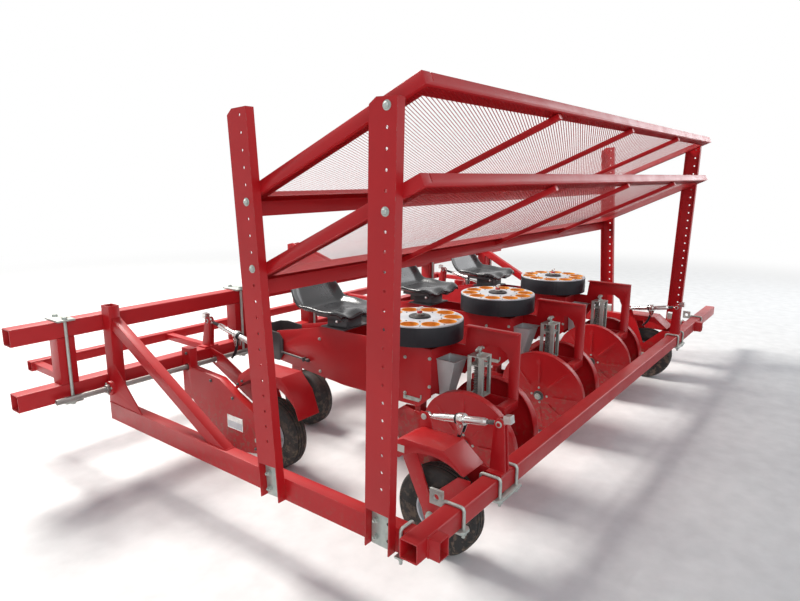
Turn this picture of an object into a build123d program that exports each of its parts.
from build123d import *
from math import cos, sin, radians, atan2, hypot
import os

os.makedirs("parts", exist_ok=True)

# Three-row vegetable transplanter, carried on a tractor's three-point hitch.
# +Z is up, -Y is the hitch end, +Y is the rear bar, +X is the near side of the photograph.
# Lengths are millimetres. Distances called "ahead" run forward from the rear bar's centre.

# Driving dimensions: main frame
row_spacing = 914
row_count = 3
frame_width = 4120
rear_bar_size = 80
rear_bar_wall = 6
tube_corner = 8
rear_bar_z = 382
near_overhang = 60
far_overhang = 750
front_bar_size = 90
front_bar_wall = 6
front_bar_ahead = 2190
front_overhang = 460
upper_bar_z = 868
lower_bar_z = 525
outer_bar_size = 60
outer_bar_ahead = 2790
outer_bar_overhang = 150
hitch_reach = 110
hitch_eye_r = 42
stub_reach = 50
ground_clear = 12
seat_gap = 0.3
run_gap = 0.3

# Ground wheels and front spacers, measured inward from the frame's sides
rear_wheel_in = 500
front_wheel_in = 600
wheel_to_spacer = 330

# Side frames
beam_w = 60
beam_h = 100
beam_wall = 5
beam_z = 357
post_size = 80
post_top = 965
brace_size = 60
brace_foot_ahead = 1113
gusset_t = 8

# Places worked out from the sizes above
centre_x = (far_overhang - front_overhang) / 2
rear_reach = rear_bar_size / 2 + stub_reach
front_reach = outer_bar_ahead + outer_bar_size / 2 + hitch_reach + hitch_eye_r
rear_y = (front_reach - rear_reach) / 2
half_w = frame_width / 2
beam_top = beam_z + beam_h / 2
beam_bottom = beam_z - beam_h / 2
rear_bar_top = rear_bar_z + rear_bar_size / 2
front_face_ahead = front_bar_ahead - front_bar_size / 2
front_bar_far_face = front_bar_ahead + front_bar_size / 2
middle = Plane.YZ.offset(centre_x)
row_xs = [centre_x + row_spacing * (i - (row_count - 1) / 2) for i in range(row_count)]


def at(ahead, z):
    """A point of a side view: distance ahead of the rear bar, and height."""
    return (rear_y - ahead, z)


def finish(name, label):
    """Label a sub-part and write its file."""
    name.part.label = label
    export_step(name.part, "parts/" + label + ".step")


def tube_x(x_start, x_end, ahead, z, width, height, wall):
    """Rectangular tube across the machine, with rounded corners."""
    with BuildPart() as piece:
        with BuildSketch(Plane.YZ.offset(x_start)):
            with Locations(at(ahead, z)):
                RectangleRounded(width, height, tube_corner)
                RectangleRounded(width - 2 * wall, height - 2 * wall, tube_corner - wall, mode=Mode.SUBTRACT)
        extrude(amount=x_end - x_start)
    return piece.part


def tube_between(x, start, end, width, depth, wall):
    """Rectangular tube in a side view, from one (ahead, z) point to another."""
    y0, z0 = at(*start)
    y1, z1 = at(*end)
    run = hypot(y1 - y0, z1 - z0)
    along = ((y1 - y0) / run, (z1 - z0) / run)
    with BuildPart() as piece:
        with BuildSketch(Plane(origin=(x, y0, z0), x_dir=(1, 0, 0), z_dir=(0, along[0], along[1]))):
            Rectangle(width, depth)
            Rectangle(width - 2 * wall, depth - 2 * wall, mode=Mode.SUBTRACT)
        extrude(amount=run)
    return piece.part


def side_plate(x_start, thick, outline, holes=()):
    """Flat plate in a side view: outline points (ahead, z), round holes (ahead, z, radius)."""
    with BuildPart() as piece:
        with BuildSketch(Plane.YZ.offset(x_start)):
            with BuildLine():
                Polyline(*[at(a, z) for a, z in outline], close=True)
            make_face()
            for a, z, r in holes:
                with Locations(at(a, z)):
                    Circle(r, mode=Mode.SUBTRACT)
        extrude(amount=thick)
    return piece.part


def side_block(x_start, width, ahead_0, ahead_1, z_0, z_1):
    """Plain block: its width across, then its reach ahead and its heights."""
    return side_plate(x_start, width, [(ahead_1, z_0), (ahead_1, z_1), (ahead_0, z_1), (ahead_0, z_0)])


def rod_x(x_start, x_end, ahead, z, r):
    """Round bar across the machine."""
    with BuildPart() as piece:
        with BuildSketch(Plane.YZ.offset(x_start)):
            with Locations(at(ahead, z)):
                Circle(r)
        extrude(amount=x_end - x_start)
    return piece.part


def rod_between(x, start, end, r):
    """Round bar in a side view, from one (ahead, z) point to another."""
    y0, z0 = at(*start)
    y1, z1 = at(*end)
    run = hypot(y1 - y0, z1 - z0)
    along = ((y1 - y0) / run, (z1 - z0) / run)
    with BuildPart() as piece:
        with BuildSketch(Plane(origin=(x, y0, z0), x_dir=(1, 0, 0), z_dir=(0, along[0], along[1]))):
            Circle(r)
        extrude(amount=run)
    return piece.part


# Rear bar with the two short open stubs on its rear face
stub_in = half_w - beam_w / 2

with BuildPart() as rear_toolbar:
    add(tube_x(centre_x - half_w - far_overhang, centre_x + half_w + near_overhang,
               0, rear_bar_z, rear_bar_size, rear_bar_size, rear_bar_wall))
    with BuildSketch(Plane.XZ.offset(-(rear_y + rear_bar_size / 2 - rear_bar_wall))):
        with Locations((centre_x + stub_in, rear_bar_z), (centre_x - stub_in, rear_bar_z)):
            Rectangle(beam_w, rear_bar_size)
            Rectangle(beam_w - 2 * beam_wall, rear_bar_size - 2 * beam_wall, mode=Mode.SUBTRACT)
    extrude(amount=-(stub_reach + rear_bar_wall))
finish(rear_toolbar, "rear_toolbar")

# Side beams, from the front posts to the rear bar
shaft_ahead = front_face_ahead - 42
shaft_z = 500
shaft_r = 16
shaft_hole_r = 24
bearing_r = 40
bearing_t = 20

beam_x = centre_x + half_w - beam_w / 2
with BuildPart() as side_beams:
    add(tube_between(beam_x, (front_face_ahead, beam_z), (rear_bar_size / 2, beam_z),
                     beam_w, beam_h, beam_wall))
    mirror(about=middle)
finish(side_beams, "side_beams")

# Front posts of the side frames stand on the beams, with a gusset that the drive shaft passes
gusset_top = 640
gusset_run = 330
gusset_outline = [
    (front_face_ahead, beam_top), (front_face_ahead, gusset_top),
    (front_face_ahead - post_size, gusset_top), (front_face_ahead - gusset_run, beam_top),
]
with BuildPart() as side_posts:
    add(tube_between(beam_x, (front_face_ahead - post_size / 2, beam_top),
                     (front_face_ahead - post_size / 2, post_top), beam_w, post_size, beam_wall))
    add(side_plate(beam_x + beam_w / 2 - gusset_t, gusset_t, gusset_outline))
    with BuildSketch(Plane.YZ.offset(beam_x + beam_w / 2)):
        with Locations(at(shaft_ahead, shaft_z)):
            Circle(bearing_r)
    extrude(amount=bearing_t)
    with BuildSketch(Plane.YZ.offset(beam_x - beam_w)):
        with Locations(at(shaft_ahead, shaft_z)):
            Circle(shaft_r + run_gap)
    extrude(amount=2 * beam_w, mode=Mode.SUBTRACT)
    mirror(about=middle)
finish(side_posts, "side_posts")

# Diagonal braces, cut off level on the beam and upright on the post
brace_top_z = 900
post_back = front_face_ahead - post_size
brace_rise = brace_top_z - beam_top
brace_angle = atan2(brace_rise, post_back - brace_foot_ahead)
brace_cut = brace_size / sin(brace_angle)
brace_drop = brace_size / cos(brace_angle)
brace_outline = [
    (brace_foot_ahead, beam_top), (brace_foot_ahead + brace_cut, beam_top),
    (post_back, brace_top_z - brace_drop), (post_back, brace_top_z),
]
with BuildPart() as side_braces:
    add(side_plate(beam_x - brace_size / 2, brace_size - gusset_t - seat_gap, brace_outline))
    mirror(about=middle)
finish(side_braces, "side_braces")

# Double front bar and the outer bar ahead of it
front_end = half_w + front_overhang
with BuildPart() as front_upper_bar:
    add(tube_x(centre_x - front_end, centre_x + front_end, front_bar_ahead, upper_bar_z,
               front_bar_size, front_bar_size, front_bar_wall))
finish(front_upper_bar, "front_upper_bar")

with BuildPart() as front_lower_bar:
    add(tube_x(centre_x - front_end, centre_x + front_end, front_bar_ahead, lower_bar_z,
               front_bar_size, front_bar_size, front_bar_wall))
finish(front_lower_bar, "front_lower_bar")

outer_end = half_w + outer_bar_overhang
with BuildPart() as outer_bar:
    add(tube_x(centre_x - outer_end, centre_x + outer_end, outer_bar_ahead, lower_bar_z,
               outer_bar_size, outer_bar_size, beam_wall))
finish(outer_bar, "outer_bar")

# Rungs between the outer bar and the lower front bar
rung_w = 50
rung_h = 40
rung_xs = [-(half_w + 110), -1290, -620, 620, 1290, half_w + 110]
with BuildPart() as bar_rungs:
    for rung_x in rung_xs:
        add(tube_between(centre_x + rung_x, (outer_bar_ahead - outer_bar_size / 2, lower_bar_z),
                         (front_bar_far_face, lower_bar_z), rung_w, rung_h, 4))
finish(bar_rungs, "bar_rungs")

# Upright spacer tubes between the two front bars
spacer_w = 90
spacer_halves = [row_spacing / 2, half_w - front_wheel_in - wheel_to_spacer, half_w + 200]
spacer_xs = [-spacer_halves[2], -spacer_halves[1], -spacer_halves[0],
             spacer_halves[0], spacer_halves[1], spacer_halves[2]]
lower_bar_top = lower_bar_z + front_bar_size / 2
lower_bar_bottom = lower_bar_z - front_bar_size / 2
upper_bar_bottom = upper_bar_z - front_bar_size / 2
upper_bar_top = upper_bar_z + front_bar_size / 2
with BuildPart() as bar_spacers:
    for spacer_x in spacer_xs:
        add(tube_between(centre_x + spacer_x, (front_bar_ahead, lower_bar_top),
                         (front_bar_ahead, upper_bar_bottom), spacer_w, spacer_w, 5))
finish(bar_spacers, "bar_spacers")

# Galvanised plates above and below the bars, with two long bolts to each spacer
plate_t = 10
plate_long = front_bar_size + 60
bolt_r = 8
bolt_out = front_bar_size / 2 + bolt_r + 2
with BuildPart() as bar_clamps:
    for spacer_x in spacer_xs:
        with BuildSketch(Plane.XY.offset(upper_bar_top)):
            with Locations((centre_x + spacer_x, rear_y - front_bar_ahead)):
                Rectangle(spacer_w, plate_long)
        extrude(amount=plate_t)
        with BuildSketch(Plane.XY.offset(lower_bar_bottom - plate_t)):
            with Locations((centre_x + spacer_x, rear_y - front_bar_ahead)):
                Rectangle(spacer_w, plate_long)
        extrude(amount=plate_t)
        with BuildSketch(Plane.XY.offset(lower_bar_bottom - plate_t)):
            with Locations((centre_x + spacer_x, rear_y - front_bar_ahead + bolt_out),
                           (centre_x + spacer_x, rear_y - front_bar_ahead - bolt_out)):
                Circle(bolt_r)
        extrude(amount=upper_bar_top - lower_bar_bottom + 2 * plate_t + 12)
finish(bar_clamps, "bar_clamps")

# Three-point hitch: pairs of lugs whose pins stand out sideways, and a mast back to the upper bar
link_spread = 412
pin_seat = 64
pin_r = 14
pin_neck_r = 12
pin_tail = 20
pin_head = 22
lug_gap = 40
lug_t = 14
seat_inset = 3
outer_front = outer_bar_ahead + outer_bar_size / 2
eye_ahead = outer_front + hitch_reach
lug_z = lower_bar_z
lug_outline = [
    (outer_front, lug_z - 60), (outer_front, lug_z + 60), (outer_front + 40, lug_z + 60),
    (eye_ahead + hitch_eye_r, lug_z + 26), (eye_ahead + hitch_eye_r, lug_z - 26),
    (outer_front + 40, lug_z - 60),
]
lug_face = link_spread - pin_seat / 2 - seat_inset
with BuildPart() as hitch_lugs:
    add(side_plate(centre_x + lug_face - lug_t, lug_t, lug_outline))
    add(side_plate(centre_x + lug_face - 2 * lug_t - lug_gap, lug_t, lug_outline))
    add(rod_x(centre_x + lug_face - 2 * lug_t - lug_gap - pin_head, centre_x + lug_face,
              eye_ahead, lug_z, pin_r))
    add(rod_x(centre_x + lug_face, centre_x + link_spread + pin_seat / 2 + pin_tail,
              eye_ahead, lug_z, pin_neck_r))
    add(rod_x(centre_x + link_spread - pin_seat / 2, centre_x + link_spread + pin_seat / 2,
              eye_ahead, lug_z, pin_r))
    mirror(about=middle)
finish(hitch_lugs, "hitch_lugs")

mast_gap = 56
mast_t = 12
mast_bore_r = 12.9
mast_top = 1085
mast_eye_ahead = outer_bar_ahead + 30
mast_eye_z = 1035
outer_top = lower_bar_z + outer_bar_size / 2
mast_outline = [
    (outer_bar_ahead - 30, outer_top), (outer_bar_ahead + 30, outer_top),
    (mast_eye_ahead + 50, mast_eye_z - 20), (mast_eye_ahead + 50, mast_top - 15),
    (mast_eye_ahead - 10, mast_top), (mast_eye_ahead - 60, mast_top - 15),
    (front_bar_far_face, upper_bar_top), (front_bar_far_face, upper_bar_bottom),
    (outer_bar_ahead - 90, upper_bar_bottom + 60),
]
with BuildPart() as hitch_mast:
    for mast_x in (centre_x - mast_gap / 2 - mast_t, centre_x + mast_gap / 2):
        add(side_plate(mast_x, mast_t, mast_outline, [(mast_eye_ahead, mast_eye_z, mast_bore_r)]))
    add(rod_x(centre_x - mast_gap / 2, centre_x + mast_gap / 2, outer_bar_ahead - 10, 800, 20))
finish(hitch_mast, "hitch_mast")

# Hexagonal drive shaft that the ground wheels turn, running behind the lower bar
shaft_end = half_w + 300
with BuildPart() as drive_shaft:
    with BuildSketch(Plane.YZ.offset(centre_x - shaft_end)):
        with Locations(at(shaft_ahead, shaft_z)):
            RegularPolygon(shaft_r, 6)
    extrude(amount=2 * shaft_end)
finish(drive_shaft, "drive_shaft")

# Rack posts: folded channels with the web outward and a row of holes up it, cut open at the foot
channel_w = 115
channel_flange = 40
channel_t = 5
clip_w = 30
clip_h = 22
hole_r = 6
hole_pitch = 66
hole_first = 28
hole_off = 17
foot_plate_h = 150
foot_cut = foot_plate_h + 6
# columns: ahead of the foot, ahead of the top, top height
posts = [
    (162, 127, 1910),
    (752, 854, 1918),
]


def post_plane(foot_ahead, top_ahead, top_z, out):
    """Upright plane at a post's foot, out from the beam: local x rearward, local y up the post."""
    y0, z0 = at(foot_ahead, beam_bottom)
    y1, z1 = at(top_ahead, top_z)
    run = hypot(y1 - y0, z1 - z0)
    return Plane(origin=(centre_x + half_w + out, y0, z0),
                 x_dir=(0, (z1 - z0) / run, (y0 - y1) / run), z_dir=(1, 0, 0))


def channel_post(foot_ahead, top_ahead, top_z):
    """One leaning channel post on the near side, with a slanted top."""
    run = hypot(top_ahead - foot_ahead, top_z - beam_bottom)
    web = post_plane(foot_ahead, top_ahead, top_z, channel_flange)
    with BuildPart() as post:
        with BuildSketch(web):
            with BuildLine():
                Polyline((-channel_w / 2, foot_cut), (channel_w / 2, foot_cut), (channel_w / 2, run),
                         (-channel_w / 2 + clip_w, run), (-channel_w / 2, run - clip_h), close=True)
            make_face()
            for k in range(int((run - hole_first - foot_cut) / hole_pitch)):
                with Locations((hole_off, run - hole_first - k * hole_pitch)):
                    Circle(hole_r, mode=Mode.SUBTRACT)
        extrude(amount=-channel_t)
        with BuildSketch(web):
            with Locations((-(channel_w - channel_t) / 2, (run - clip_h) / 2)):
                Rectangle(channel_t, run - clip_h)
            with Locations(((channel_w - channel_t) / 2, run / 2)):
                Rectangle(channel_t, run)
        extrude(amount=-channel_flange)
    return post.part


rear_post = channel_post(*posts[0])
front_post = channel_post(*posts[1])
with BuildPart() as rack_posts:
    add(rear_post)
    add(front_post)
    mirror(about=middle)
finish(rack_posts, "rack_posts")

# Galvanised foot plates between the posts' flanges, bolted to the beams
foot_plate_w = channel_w - 2 * channel_t - 4
foot_plate_t = 8
with BuildPart() as foot_plates:
    for post in posts:
        with BuildSketch(post_plane(*post, 0)):
            with Locations((0, foot_plate_h / 2)):
                Rectangle(foot_plate_w, foot_plate_h)
        extrude(amount=foot_plate_t)
    mirror(about=middle)
finish(foot_plates, "foot_plates")

# Sloping tray racks: rails round a ledge above the mesh, a front leg, a slotted rear lip and ribs below
rack_half = half_w
rail_t = 5
rail_up = 45
ledge_w = 60
front_leg = 60
rib_w = 30
rib_h = 25
rib_back = 15
slit_w = 6
slit_h = 30
slit_in = 45
mesh_t = 3
mesh_cols = 20
mesh_rows = 4
strand = 16
# columns: label, ahead of the rear edge, height of the rear edge, run ahead, fall over the run
racks = [
    ("upper", 10, 1982, 880, 386),
    ("lower", 10, 1675, 865, 403),
]


def rack_plane(rear_ahead, rear_z, run, fall):
    """Plane of a rack's top edges: local x across, local y up the slope, origin at the rear edge."""
    slope = atan2(fall, run)
    y0, z0 = at(rear_ahead, rear_z)
    return Plane(origin=(centre_x, y0, z0), x_dir=(1, 0, 0), z_dir=(0, -sin(slope), cos(slope)))


def rack_frame(rear_ahead, rear_z, run, fall):
    """Rails, ledge, front leg, rear lip with its slits and the ribs of one rack."""
    length = hypot(run, fall)
    top = rack_plane(rear_ahead, rear_z, run, fall)
    inner = rack_half - rail_t
    with BuildPart() as frame:
        with BuildSketch(top):
            with Locations((0, -length / 2)):
                Rectangle(2 * rack_half, length)
                Rectangle(2 * inner, length - 2 * rail_t, mode=Mode.SUBTRACT)
        extrude(amount=-rail_up)
        with BuildSketch(top.offset(-rail_up)):
            with Locations((0, -length / 2)):
                Rectangle(2 * rack_half, length)
                Rectangle(2 * (inner - ledge_w), length - 2 * (rail_t + ledge_w), mode=Mode.SUBTRACT)
        extrude(amount=rail_t)
        with BuildSketch(top.offset(-rail_up)):
            with Locations((0, -length + rail_t / 2)):
                Rectangle(2 * rack_half, rail_t)
        extrude(amount=-front_leg)
        with BuildSketch(top.offset(-rail_up - mesh_t)):
            for rib in (-inner / 2, 0, inner / 2):
                with Locations((rib, -(rib_back + length - rail_t) / 2)):
                    Rectangle(rib_w, length - rail_t - rib_back)
        extrude(amount=-rib_h)
        with BuildSketch(top):
            with Locations((inner - slit_in, -rail_t / 2), (slit_in - inner, -rail_t / 2)):
                Rectangle(slit_w, 2 * rail_t)
        extrude(amount=-slit_h, mode=Mode.SUBTRACT)
    return frame.part


def rack_mesh(rear_ahead, rear_z, run, fall):
    """Expanded sheet under the rack's ledge, with rows of diamond openings."""
    length = hypot(run, fall)
    top = rack_plane(rear_ahead, rear_z, run, fall)
    wide = 2 * (rack_half - 8)
    deep = length - rail_t - 8
    pitch_x = wide / (mesh_cols + 1)
    pitch_y = deep / (mesh_rows + 1)
    with BuildPart() as sheet:
        with BuildSketch(top.offset(-rail_up)):
            with Locations((0, -deep / 2 - 4)):
                Rectangle(wide, deep)
                for cols, lines in ((mesh_cols, mesh_rows), (mesh_cols + 1, mesh_rows - 1)):
                    with GridLocations(pitch_x, pitch_y, cols, lines):
                        Polygon((-pitch_x / 2 + strand, 0), (0, -pitch_y / 2 + strand / 2),
                                (pitch_x / 2 - strand, 0), (0, pitch_y / 2 - strand / 2),
                                mode=Mode.SUBTRACT)
        extrude(amount=-mesh_t)
    return sheet.part


with BuildPart() as upper_rack_frame:
    add(rack_frame(*racks[0][1:]))
finish(upper_rack_frame, "upper_rack_frame")
with BuildPart() as lower_rack_frame:
    add(rack_frame(*racks[1][1:]))
finish(lower_rack_frame, "lower_rack_frame")
with BuildPart() as rack_meshes:
    add(rack_mesh(*racks[0][1:]))
    add(rack_mesh(*racks[1][1:]))
finish(rack_meshes, "rack_meshes")

# Ground wheels: rubber tyres on pressed rims, two behind and two driving ones ahead
tyre_r = 205
tyre_w = 110
rim_r = 104
rim_w = 84
rim_t = 5
hub_r = 32
axle_r = 16
cheek_gap = 75
cheek_t = 8
# columns: label, side, across from the middle, ahead
wheels = [
    ("rear_near", 1, half_w - rear_wheel_in, 235),
    ("rear_far", -1, half_w - rear_wheel_in, 235),
    ("front_near", 1, half_w - front_wheel_in, 1440),
    ("front_far", -1, half_w - front_wheel_in, 1440),
]
rear_wheel = wheels[0]
front_wheel = wheels[2]


def wheel_plane(x, ahead, z, tilt=0):
    """Plane through an axle: local x is the axle, local y points up."""
    y0, z0 = at(ahead, z)
    return Plane(origin=(x, y0, z0), x_dir=(cos(tilt), 0, sin(tilt)), z_dir=(0, -1, 0))


def wheel_axis(plane):
    """The axle line of such a plane."""
    return Axis(plane.origin, plane.x_dir)


for label, side, across, ahead in wheels:
    axle_plane = wheel_plane(centre_x + side * across, ahead, tyre_r)
    with BuildPart() as tyre:
        with BuildSketch(axle_plane):
            with BuildLine():
                Polyline((-rim_w / 2, rim_r), (-tyre_w / 2, rim_r + 34), (-tyre_w / 2 + 3, tyre_r - 28),
                         (-tyre_w / 2 + 20, tyre_r - 6), (-tyre_w / 4, tyre_r), (tyre_w / 4, tyre_r),
                         (tyre_w / 2 - 20, tyre_r - 6), (tyre_w / 2 - 3, tyre_r - 28),
                         (tyre_w / 2, rim_r + 34), (rim_w / 2, rim_r), close=True)
            make_face()
        revolve(axis=wheel_axis(axle_plane))
    finish(tyre, "tyre_" + label)
    with BuildPart() as rim:
        with BuildSketch(axle_plane):
            with Locations((0, rim_r - rim_t / 2)):
                Rectangle(rim_w, rim_t)
            with Locations((0, (hub_r + rim_r - rim_t) / 2)):
                Rectangle(rim_t, rim_r - rim_t - hub_r + 2)
            with Locations((0, (hub_r + axle_r + run_gap) / 2)):
                Rectangle(2 * cheek_gap - 12, hub_r - axle_r - run_gap)
        revolve(axis=wheel_axis(axle_plane))
    finish(rim, "rim_" + label)

# Forks of the ground wheels: bent cheeks, the axle, and an upright that the turnbuckle holds
fender_t = 4
rear_fender_in = 526
link_pin_r = 9
link_t = 20
rear_link_end = (385, 578)
front_link_end = (1610, 640)
rear_cheek = [(205, 178), (265, 178), (280, 225), (400, 470), (372, rear_fender_in),
              (330, rear_fender_in), (240, 300), (100, 430), (rear_bar_size / 2, 430),
              (rear_bar_size / 2, 345), (75, 345)]
rear_upright = [(280, 225), (400, 470), (410, 560), (404, 600), (366, 600), (345, 560),
                (300, 410), (240, 300)]
front_cheek = [(front_face_ahead, 480), (front_face_ahead, 570), (2020, 545), (1560, 330),
               (1405, 240), (1405, 178), (1475, 178)]
front_upright = [(1480, 200), (1405, 240), (1500, 420), (1585, 655), (1635, 655), (1640, 600), (1560, 330)]
case_t = 50
case_in = 80
front_case = [
    (front_face_ahead, 300), (front_face_ahead, 620), (2060, 620), (2060, 505), (1780, 490),
    (1640, 420), (1395, 320), (1385, 130), (1567, 90), (1800, 85), (2060, 300),
]

with BuildPart() as wheel_forks:
    label, side, across, ahead = rear_wheel
    x = centre_x + across
    add(side_plate(x + cheek_gap, cheek_t, rear_cheek))
    add(side_plate(x - cheek_gap - cheek_t, cheek_t, rear_cheek))
    add(side_plate(x - cheek_gap - cheek_t, cheek_t, rear_upright))
    add(rod_x(x - cheek_gap, x + cheek_gap, ahead, tyre_r, axle_r))
    add(rod_x(x - cheek_gap - cheek_t - link_t - 8, x - cheek_gap, *rear_link_end, link_pin_r))
    label, side, across, ahead = front_wheel
    x = centre_x + across
    add(side_plate(x - cheek_gap - cheek_t, cheek_t, front_cheek, [(shaft_ahead, shaft_z, shaft_hole_r)]))
    add(side_plate(x - cheek_gap - cheek_t, cheek_t, front_upright))
    add(rod_x(x - cheek_gap, x + case_in, ahead, tyre_r, axle_r))
    add(rod_x(x - cheek_gap - cheek_t - link_t - 8, x - cheek_gap, *front_link_end, link_pin_r))
    mirror(about=middle)
finish(wheel_forks, "wheel_forks")

# Chain cases from the driving wheels' axles up to the hexagonal shaft
with BuildPart() as drive_cases:
    add(side_plate(centre_x + front_wheel[2] + case_in, case_t, front_case,
                   [(shaft_ahead, shaft_z, shaft_hole_r)]))
    mirror(about=middle)
finish(drive_cases, "drive_cases")

# Faceted fenders bent from sheet over each ground wheel
rear_fender = [(452, 430), (430, 505), (382, 530), (170, 530), (66, 446)]
front_fender = [(1700, 440), (1655, 530), (1570, 585), (1300, 585), (1215, 500), (1165, 370)]


def inner_line(line, thick):
    """The same bent line, moved square to each run by one thickness, with mitred corners."""
    runs = list(zip(line[:-1], line[1:]))
    moved = []
    for k, (a, z) in enumerate(line):
        normals = []
        for (a0, z0), (a1, z1) in runs[max(k - 1, 0):k + 1]:
            run = hypot(a1 - a0, z1 - z0)
            normals.append(((z1 - z0) / run, -(a1 - a0) / run))
        ahead_n, z_n = sum(n[0] for n in normals), sum(n[1] for n in normals)
        size = hypot(ahead_n, z_n)
        spread = (normals[0][0] * ahead_n + normals[0][1] * z_n) / size
        moved.append((a - ahead_n / size * thick / spread, z - z_n / size * thick / spread))
    return moved


def bent_sheet(x_start, x_end, line):
    """Sheet bent along a side-view line of (ahead, z) points, thickness towards the wheel."""
    return side_plate(x_start, x_end - x_start, list(line) + inner_line(line, fender_t)[::-1])


def skirt(x_start, line, wheel_ahead, arch_r):
    """Side skirt under a fender's line, cut to an arch round the wheel."""
    return side_plate(x_start, fender_t, line, [(wheel_ahead, tyre_r, arch_r)])


rear_arch_r = 285
front_arch_r = 335
# columns: wheel, bent line, inner side, outer side, radius of the arch
sheets = [
    (rear_wheel, rear_fender, -cheek_gap, cheek_gap + cheek_t + fender_t, rear_arch_r),
    (front_wheel, front_fender, -cheek_gap, case_in, front_arch_r),
]
with BuildPart() as fenders:
    for (label, side, across, ahead), line, inside, outside, arch_r in sheets:
        x = centre_x + across
        add(bent_sheet(x + inside, x + outside, line))
        add(skirt(x + inside, line, ahead, arch_r))
        add(skirt(x + outside - fender_t, line, ahead, arch_r))
    mirror(about=middle)
finish(fenders, "fenders")

# Clevis brackets on the bars, each with the pin of its turnbuckle
clevis_t = 8
clevis_base_t = 8
clevis_gap = link_t / 2 + seat_gap
link_in = cheek_gap + cheek_t + seat_gap + link_t / 2
rear_link_top = (0, 640)
front_link_top = (2160, 745)
rear_clevis = [(38, rear_bar_top + clevis_base_t), (24, 640), (21, 652), (12, 661), (0, 664), (-12, 661),
               (-21, 652), (-24, 640), (-38, rear_bar_top + clevis_base_t)]
front_clevis = [(2228, lower_bar_top + clevis_base_t), (2184, 745), (2181, 757), (2172, 766), (2160, 769),
                (2148, 766), (2139, 757), (2136, 745), (2152, lower_bar_top + clevis_base_t)]
# columns: wheel, clevis outline, pin place, base centre ahead, base height
clevises = [
    (rear_wheel, rear_clevis, rear_link_top, 0, rear_bar_top),
    (front_wheel, front_clevis, front_link_top, front_bar_ahead, lower_bar_top),
]
with BuildPart() as clevis_brackets:
    for (label, side, across, ahead), outline, pin_place, base_ahead, base_z in clevises:
        x = centre_x + across - link_in
        with BuildSketch(Plane.XY.offset(base_z)):
            with Locations((x, rear_y - base_ahead)):
                Rectangle(100, 76)
        extrude(amount=clevis_base_t)
        add(side_plate(x + clevis_gap, clevis_t, outline))
        add(side_plate(x - clevis_gap - clevis_t, clevis_t, outline))
        add(rod_x(x - clevis_gap - clevis_t - 6, x + clevis_gap + clevis_t + 6, *pin_place, link_pin_r))
    mirror(about=middle)
finish(clevis_brackets, "clevis_brackets")

# Turnbuckles: an eye at each end, threaded rods and a sleeve
eye_r = 19
link_rod_r = 9
sleeve_r = 17
# columns: middle of the link across, place of the bracket's pin, place of the fork's pin
links = [
    (rear_wheel[2] - link_in, rear_link_top, rear_link_end),
    (front_wheel[2] - link_in, front_link_top, front_link_end),
]


def along_link(start, end, share):
    """A point part of the way from one (ahead, z) place to another."""
    return (start[0] + (end[0] - start[0]) * share, start[1] + (end[1] - start[1]) * share)


with BuildPart() as turnbuckles:
    for across, start, end in links:
        x = centre_x + across
        add(rod_between(x, start, end, link_rod_r))
        add(rod_between(x, along_link(start, end, 0.2), along_link(start, end, 0.72), sleeve_r))
        for eye in (start, end):
            add(rod_x(x - link_t / 2, x + link_t / 2, *eye, eye_r))
        for eye in (start, end):
            with BuildSketch(Plane.YZ.offset(x - link_t)):
                with Locations(at(*eye)):
                    Circle(link_pin_r + run_gap)
            extrude(amount=2 * link_t, mode=Mode.SUBTRACT)
    mirror(about=middle)
finish(turnbuckles, "turnbuckles")

# Black crank handles that hang from the sleeves
crank_long = 150
crank_r = 8
grip_r = 13
with BuildPart() as link_cranks:
    for across, start, end in links:
        x = centre_x + across
        collar = along_link(start, end, 0.5)
        collar_end = along_link(start, end, 0.58)
        add(rod_between(x, collar, collar_end, sleeve_r + 12))
        add(rod_between(x, (collar[0] - 10, collar[1] - sleeve_r - 4),
                        (collar[0] - 30, collar[1] - crank_long + 40), crank_r))
        add(rod_between(x, (collar[0] - 30, collar[1] - crank_long + 42),
                        (collar[0] - 44, collar[1] - crank_long - 10), grip_r))
        y0, z0 = at(*start)
        y1, z1 = at(*end)
        with BuildSketch(Plane(origin=(x, y0, z0), x_dir=(1, 0, 0), z_dir=(0, y1 - y0, z1 - z0))):
            Circle(sleeve_r + run_gap)
        extrude(amount=hypot(y1 - y0, z1 - z0), mode=Mode.SUBTRACT)
    mirror(about=middle)
finish(link_cranks, "link_cranks")

# U-bolts bent from round bar over the rear bar, through clamp plates below it, and the eye plates
u_rod = 14
u_bend_r = tube_corner + u_rod / 2
u_tail = 24
u_plate_w = 60
u_plate_t = 10
u_plate_clip = 14
u_spread = 75
u_half = rear_bar_size / 2 + seat_gap
u_out = u_half + u_rod / 2
u_plate_half = u_out + u_rod / 2 + 10
u_plate_top = rear_bar_z - u_half
eye_plate_t = 12
rear_link_x = rear_wheel[2] - link_in
eye_xs = [half_w - 230, -(half_w + 150)]
u_xs = [s * rear_link_x + d for s in (1, -1) for d in (u_spread, -u_spread)] + eye_xs
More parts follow.
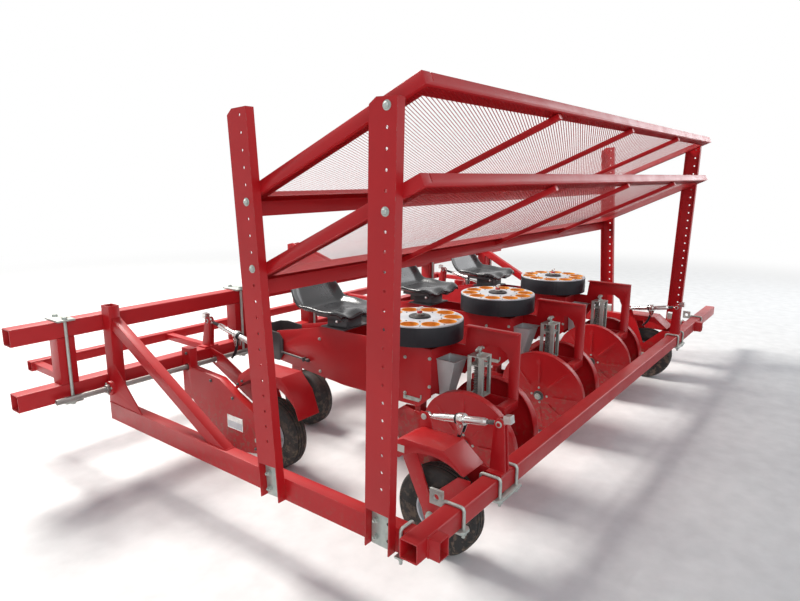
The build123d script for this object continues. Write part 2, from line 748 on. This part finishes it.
# columns: middle of the clamp plate across, its width
u_plates = [(s * rear_link_x, 2 * u_spread + u_plate_w) for s in (1, -1)] + [(x, u_plate_w) for x in eye_xs]
with BuildPart() as u_bolts:
    for u_x in u_xs:
        with BuildLine(Plane.YZ.offset(centre_x + u_x)) as bend:
            FilletPolyline(at(-u_out, u_plate_top - u_plate_t - u_tail), at(-u_out, rear_bar_z + u_out),
                           at(u_out, rear_bar_z + u_out), at(u_out, u_plate_top - u_plate_t - u_tail),
                           radius=u_bend_r)
        with BuildSketch(Plane(origin=bend.line @ 0, x_dir=(1, 0, 0), z_dir=bend.line % 0)):
            Circle(u_rod / 2)
        sweep(path=bend.line)
    for plate_x, plate_w in u_plates:
        with BuildSketch(Plane.XY.offset(u_plate_top)) as plate:
            with Locations((centre_x + plate_x, rear_y)):
                Rectangle(plate_w, 2 * u_plate_half)
            chamfer(plate.vertices(), u_plate_clip)
        extrude(amount=-u_plate_t)
    for eye_x in eye_xs:
        with BuildSketch(Plane.YZ.offset(centre_x + eye_x - eye_plate_t / 2)):
            with Locations(at(u_out + 31, rear_bar_top + 12)):
                Rectangle(60, 64)
                Circle(14, mode=Mode.SUBTRACT)
        extrude(amount=eye_plate_t)
finish(u_bolts, "u_bolts")

# Planting units: one set of pieces, made at the middle and repeated on each row
unit_in = 110
unit_t = 6
pivot_t = 10
pivot_ahead = 1880
pivot_z = 556
pivot_pin_r = 12
unit_back = 660
unit_top = 742
unit_side = [(1905, 455), (1905, 650), (1560, 722), (1500, unit_top), (unit_back, unit_top),
             (unit_back, 470), (740, 400), (1304, 400)]
drum_r = 250
drum_ahead = 823
stem_cross = 827
shoe_stem_w = 60
shoe_stem_t = 40
rows = [(x, 0, 0) for x in row_xs]

# Pivot brackets bolted to the lower front bar, clear round the drive shaft
pivot_cheek = [(front_face_ahead, 452), (front_face_ahead, 640), (2060, 650), (1880, 640),
               (1842, 600), (1842, 500), (1880, 452)]
with BuildPart() as pivot_model:
    add(side_plate(-unit_in - unit_t - seat_gap - pivot_t, pivot_t, pivot_cheek,
                   [(shaft_ahead, shaft_z, shaft_hole_r)]))
    add(side_plate(unit_in + unit_t + seat_gap, pivot_t, pivot_cheek,
                   [(shaft_ahead, shaft_z, shaft_hole_r)]))
    add(side_block(-unit_in - unit_t - seat_gap, 2 * (unit_in + unit_t + seat_gap),
                   front_face_ahead - pivot_t, front_face_ahead, 560, 640))
    add(rod_x(-unit_in - unit_t - pivot_t, unit_in + unit_t + pivot_t, pivot_ahead, pivot_z, pivot_pin_r))
with BuildPart() as unit_pivots:
    with Locations(*rows):
        add(pivot_model.part)
finish(unit_pivots, "unit_pivots")

# Unit frames: two side plates, cross plates, and the bridge with the carousel's pin
bridge_t = 10
bridge_w = 86
# columns: rear face ahead, bottom height, top height
cross_plates = [
    (unit_back, 480, unit_top),
    (stem_cross, 410, 700),
    (1500, 410, 700),
]
spindle_r = 15
drum_floor = 770
spindle_top = 915
with BuildPart() as frame_model:
    for x in (-unit_in - unit_t, unit_in):
        add(side_plate(x, unit_t, unit_side, [(pivot_ahead, pivot_z, pivot_pin_r + run_gap)]))
    for cross_ahead, cross_bottom, cross_top in cross_plates:
        add(side_block(-unit_in, 2 * unit_in, cross_ahead, cross_ahead + unit_t, cross_bottom, cross_top))
    add(side_block(-unit_in - unit_t, 2 * (unit_in + unit_t),
                   drum_ahead - bridge_w / 2, drum_ahead + bridge_w / 2, unit_top, unit_top + bridge_t))
    with BuildSketch(Plane.XY.offset(unit_top)):
        with Locations((0, rear_y - drum_ahead)):
            Circle(spindle_r)
    extrude(amount=spindle_top - unit_top)
with BuildPart() as unit_frames:
    with Locations(*rows):
        add(frame_model.part)
finish(unit_frames, "unit_frames")

# Opener shoes: boat-shaped, sharp ahead and open behind, on a stem
shoe_w = 90
shoe_t = 6
shoe_in = shoe_w / 2 - shoe_t
shoe_front = 1010
shoe_shoulder = 790
shoe_back = 600
shoe_top = 330
with BuildPart() as shoe_model:
    with BuildSketch(Plane.XY.offset(ground_clear)):
        with BuildLine():
            Polyline((0, rear_y - shoe_front), (shoe_w / 2, rear_y - shoe_shoulder),
                     (shoe_w / 2, rear_y - shoe_back), (-shoe_w / 2, rear_y - shoe_back),
                     (-shoe_w / 2, rear_y - shoe_shoulder), close=True)
        make_face()
    extrude(amount=shoe_top - ground_clear)
    with BuildSketch(Plane.XY.offset(ground_clear - 1)):
        with BuildLine():
            Polyline((0, rear_y - shoe_front + 60), (shoe_in, rear_y - shoe_shoulder),
                     (shoe_in, rear_y - shoe_back + 1), (-shoe_in, rear_y - shoe_back + 1),
                     (-shoe_in, rear_y - shoe_shoulder), close=True)
        make_face()
    extrude(amount=shoe_top - ground_clear + 2, mode=Mode.SUBTRACT)
    add(side_plate(-shoe_w, 2 * shoe_w, [(shoe_front + 5, ground_clear - 2), (shoe_front + 5, 190),
                                         (shoe_front - 30, 130), (shoe_front - 80, 70),
                                         (shoe_shoulder, ground_clear - 2)]), mode=Mode.SUBTRACT)
    add(side_plate(-shoe_w, 2 * shoe_w, [(shoe_front + 5, shoe_top + 1), (shoe_front + 5, 260),
                                         (shoe_front - 90, shoe_top + 1)]), mode=Mode.SUBTRACT)
    stem_back = stem_cross - shoe_stem_t
    add(side_block(-shoe_w / 2 + 1, shoe_w - 2, stem_back, stem_cross, shoe_top - 50, shoe_top))
    add(side_block(-shoe_stem_w / 2, shoe_stem_w, stem_back, stem_cross, shoe_top - 10, 640))
with BuildPart() as opener_shoes:
    with Locations(*rows):
        add(shoe_model.part)
finish(opener_shoes, "opener_shoes")

# Drop chutes: tapered grey hoppers under the carousels' drop point, down into the shoes
chute_w = 130
chute_l = 118
neck_w = 70
neck_l = 44
chute_t = 3
chute_top = 682
chute_neck = 440
chute_foot = 70
mouth_y = rear_y - unit_back + chute_l / 2
neck_y = rear_y - shoe_back - neck_l / 2 - 8
with BuildPart() as chute_model:
    for shrink, mode in ((0, Mode.ADD), (chute_t, Mode.SUBTRACT)):
        with BuildSketch(Plane.XY.offset(chute_neck)):
            with Locations((0, neck_y)):
                Rectangle(neck_w - 2 * shrink, neck_l - 2 * shrink)
        with BuildSketch(Plane.XY.offset(chute_top)):
            with Locations((0, mouth_y)):
                Rectangle(chute_w - 2 * shrink, chute_l - 2 * shrink)
        loft(mode=mode)
        with BuildSketch(Plane.XY.offset(chute_foot)):
            with Locations((0, neck_y)):
                Rectangle(neck_w - 2 * shrink, neck_l - 2 * shrink)
        extrude(amount=chute_neck - chute_foot, mode=mode)
with BuildPart() as drop_chutes:
    with Locations(*rows):
        add(chute_model.part)
finish(drop_chutes, "drop_chutes")

# Rear arms: the red upright plate with its rounded cut-out, and the press wheels' frame below
arm_x = -80
arm_t = 8
arm_flange = 50
arm_top = 865
leg_ahead = 230
disc_ahead = 411
disc_z = 290
disc_x = 155
disc_tilt = radians(10)
disc_axle_r = 14
press_in = 62
press_t = 8
arm_outline = [(unit_back, 580), (unit_back, 745), (562, 745), (548, arm_top), (leg_ahead, arm_top),
               (leg_ahead, 480), (290, 480), (290, 700), (310, 745), (350, 770), (400, 770),
               (460, 740), (520, 640), (560, 580)]
shelf_z = 500
box_w = 100
box_deep = 92
box_ahead = 440
box_top = 725
box_back = box_ahead - box_deep / 2
box_front = box_ahead + box_deep / 2
press_side = [(leg_ahead, 455), (leg_ahead, shelf_z), (490, shelf_z), (490, 470), (455, 340), (455, 262),
              (380, 262), (330, 455)]
with BuildPart() as arm_model:
    add(side_plate(arm_x, arm_t, arm_outline))
    add(side_block(arm_x, arm_flange, leg_ahead, 548, arm_top - 5, arm_top))
    add(side_plate(-press_in - press_t, press_t, press_side))
    add(side_plate(press_in, press_t, press_side))
    add(side_block(arm_x, press_in + press_t - arm_x, leg_ahead, leg_ahead + 50, shelf_z - 45, shelf_z))
    add(side_block(-press_in, 2 * press_in, box_back, box_front, shelf_z - 6, shelf_z))
    for side in (-1, 1):
        hub = wheel_plane(side * disc_x, disc_ahead, disc_z, -disc_tilt * side)
        with BuildSketch(Plane(origin=hub.origin + hub.x_dir * (-side * 95), x_dir=(0, 1, 0),
                               z_dir=hub.x_dir * side)):
            Circle(disc_axle_r)
        extrude(amount=95 + 36)
with BuildPart() as press_arms:
    with Locations(*rows):
        add(arm_model.part)
finish(press_arms, "press_arms")

# Spring boxes with two upright springs' housings and a T-handle
with BuildPart() as spring_model:
    add(side_block(arm_x + arm_t, box_w, box_back, box_front, shelf_z, box_top))
    with BuildSketch(Plane.XY.offset(box_top)):
        with Locations((arm_x + arm_t + box_w / 2, rear_y - box_ahead)):
            Circle(10)
    extrude(amount=44)
    add(rod_x(arm_x + arm_t + box_w / 2 - 42, arm_x + arm_t + box_w / 2 + 42, box_ahead, 765, 8))
with BuildPart() as spring_boxes:
    with Locations(*rows):
        add(spring_model.part)
finish(spring_boxes, "spring_boxes")

# Small tyred gauge wheels ahead of the shoes, on arms inside the unit frames
gauge_r = 185
gauge_w = 116
gauge_ahead = 1745
gauge_axle_r = 12
gauge_z = 190
gauge_arm = [(gauge_ahead - 40, gauge_z - 25), (gauge_ahead + 30, gauge_z - 25),
             (gauge_ahead + 40, gauge_z + 30), (gauge_ahead + 20, 600),
             (gauge_ahead - 60, 600), (gauge_ahead - 60, gauge_z + 30)]
with BuildPart() as gauge_arm_model:
    add(side_plate(-unit_in, unit_t + 2, gauge_arm))
    add(side_plate(unit_in - unit_t - 2, unit_t + 2, gauge_arm))
    add(rod_x(-unit_in, unit_in, gauge_ahead, gauge_z, gauge_axle_r))
with BuildPart() as gauge_arms:
    with Locations(*rows):
        add(gauge_arm_model.part)
finish(gauge_arms, "gauge_arms")

# Seat bases on the unit frames, and the moulded pan seats
seat_front = 1245
seat_w = 440
seat_z = 822
base_ahead = 1300
base_long = 190
base_t = 8
block_w = 140
block_long = 160
runner_x = 80
runner_w = 30
runner_ahead = 1280
runner_long = 280
rail_bottom = seat_z - 22
with BuildPart() as base_model:
    add(side_block(-unit_in - unit_t, 2 * (unit_in + unit_t), base_ahead, base_ahead + base_long,
                   unit_top, unit_top + base_t))
    add(side_block(-block_w / 2, block_w, base_ahead + 20, base_ahead + 20 + block_long,
                   unit_top + base_t, rail_bottom + 10))
    for x in (-runner_x, runner_x):
        add(side_block(x - runner_w / 2, runner_w, runner_ahead, runner_ahead + runner_long,
                       rail_bottom, seat_z))
with BuildPart() as seat_bases:
    with Locations(*rows):
        add(base_model.part)
finish(seat_bases, "seat_bases")

seat_outer = [(seat_front, 872), (seat_front + 6, 846), (1300, seat_z), (1560, seat_z), (1640, 838),
              (1690, 890), (1722, 1008), (1700, 1016), (1560, 892), (1340, 884)]
seat_inner = [(seat_front - 20, 900), (seat_front + 22, 866), (1310, 836), (1556, 836), (1628, 850),
              (1674, 896), (1706, 1020), (1600, 1060), (1300, 1060)]
with BuildPart() as seat_model:
    add(side_plate(-seat_w / 2, seat_w, seat_outer))
    add(side_plate(-seat_w / 2 + 14, seat_w - 28, seat_inner), mode=Mode.SUBTRACT)
with BuildPart() as seat_pans:
    with Locations(*rows):
        add(seat_model.part)
finish(seat_pans, "seat_pans")

# Turning pieces of each unit: gauge wheel, two tilted press discs, and the carousel
gauge_hub_r = 28
gauge_rim_r = 110
disc_r = 280
disc_hub_r = 34
disc_t = 6
disc_dish = 24
band_w = 42
crease_count = 8
crease_w = 10
cup_count = 10
cup_ring_r = 187
cup_r = 48
cup_depth = 96
drum_top = 874
plate_top = 882

for number, row_x in enumerate(row_xs, start=1):
    gauge_plane = wheel_plane(row_x, gauge_ahead, gauge_z)
    with BuildPart() as gauge_wheel:
        with BuildSketch(gauge_plane):
            with BuildLine():
                Polyline((-gauge_w / 2 + 14, gauge_rim_r), (-gauge_w / 2, gauge_rim_r + 26),
                         (-gauge_w / 2 + 6, gauge_r - 12), (-gauge_w / 4, gauge_r), (gauge_w / 4, gauge_r),
                         (gauge_w / 2 - 6, gauge_r - 12), (gauge_w / 2, gauge_rim_r + 26),
                         (gauge_w / 2 - 14, gauge_rim_r), close=True)
            make_face()
            with Locations((0, (gauge_hub_r + gauge_rim_r) / 2)):
                Rectangle(30, gauge_rim_r - gauge_hub_r + 8)
            with Locations((0, (gauge_axle_r + run_gap + gauge_hub_r) / 2)):
                Rectangle(2 * (unit_in - unit_t - 2) - 14, gauge_hub_r - gauge_axle_r - run_gap)
        revolve(axis=wheel_axis(gauge_plane))
    finish(gauge_wheel, "gauge_wheel_" + str(number))

    for side, name in ((1, "near"), (-1, "far")):
        disc_plane = wheel_plane(row_x + side * disc_x, disc_ahead, disc_z, -disc_tilt * side)
        with BuildPart() as press_disc:
            with BuildSketch(disc_plane):
                with BuildLine():
                    Polyline((side * 6, disc_hub_r - 2), (side * 6, 70), (-side * disc_dish, disc_r - 8),
                             (-side * disc_dish, disc_r), (-side * (disc_dish + band_w), disc_r - 6),
                             (-side * (disc_dish + band_w), disc_r - 12),
                             (-side * (disc_dish + disc_t), disc_r - 15),
                             (0, 68), (0, disc_hub_r - 2), close=True)
                make_face()
                with Locations((-side * 16, (disc_axle_r + run_gap + disc_hub_r) / 2)):
                    Rectangle(64, disc_hub_r - disc_axle_r - run_gap)
            revolve(axis=wheel_axis(disc_plane))
            with BuildSketch(disc_plane) as crease:
                with BuildLine():
                    Polyline((side * 4, 78), (side * 9, 96), (side * (4 - disc_dish), disc_r - 34),
                             (-side * (disc_dish + 2), disc_r - 22), close=True)
                make_face()
            ribs = extrude(crease.sketch, amount=crease_w / 2, both=True, mode=Mode.PRIVATE)
            for k in range(crease_count):
                add(ribs.rotate(wheel_axis(disc_plane), 360 / crease_count * k))
        finish(press_disc, "press_disc_" + str(number) + "_" + name)

    with BuildPart() as carousel_drum:
        with BuildSketch(Plane.XY.offset(drum_floor)):
            with Locations((row_x, rear_y - drum_ahead)):
                Circle(drum_r)
                Circle(spindle_r + run_gap, mode=Mode.SUBTRACT)
        extrude(amount=drum_top - drum_floor)
        with BuildSketch(Plane.XY.offset(drum_top)):
            with Locations((row_x, rear_y - drum_ahead)):
                with PolarLocations(cup_ring_r, cup_count, start_angle=-90):
                    Circle(cup_r)
        extrude(amount=-cup_depth, mode=Mode.SUBTRACT)
    finish(carousel_drum, "carousel_drum_" + str(number))

    with BuildPart() as carousel_plate:
        with BuildSketch(Plane.XY.offset(drum_top)):
            with Locations((row_x, rear_y - drum_ahead)):
                Circle(drum_r - 2)
                with PolarLocations(cup_ring_r, cup_count, start_angle=-90):
                    Circle(cup_r, mode=Mode.SUBTRACT)
                Circle(spindle_r + run_gap, mode=Mode.SUBTRACT)
        extrude(amount=plate_top - drum_top)
    finish(carousel_plate, "carousel_plate_" + str(number))
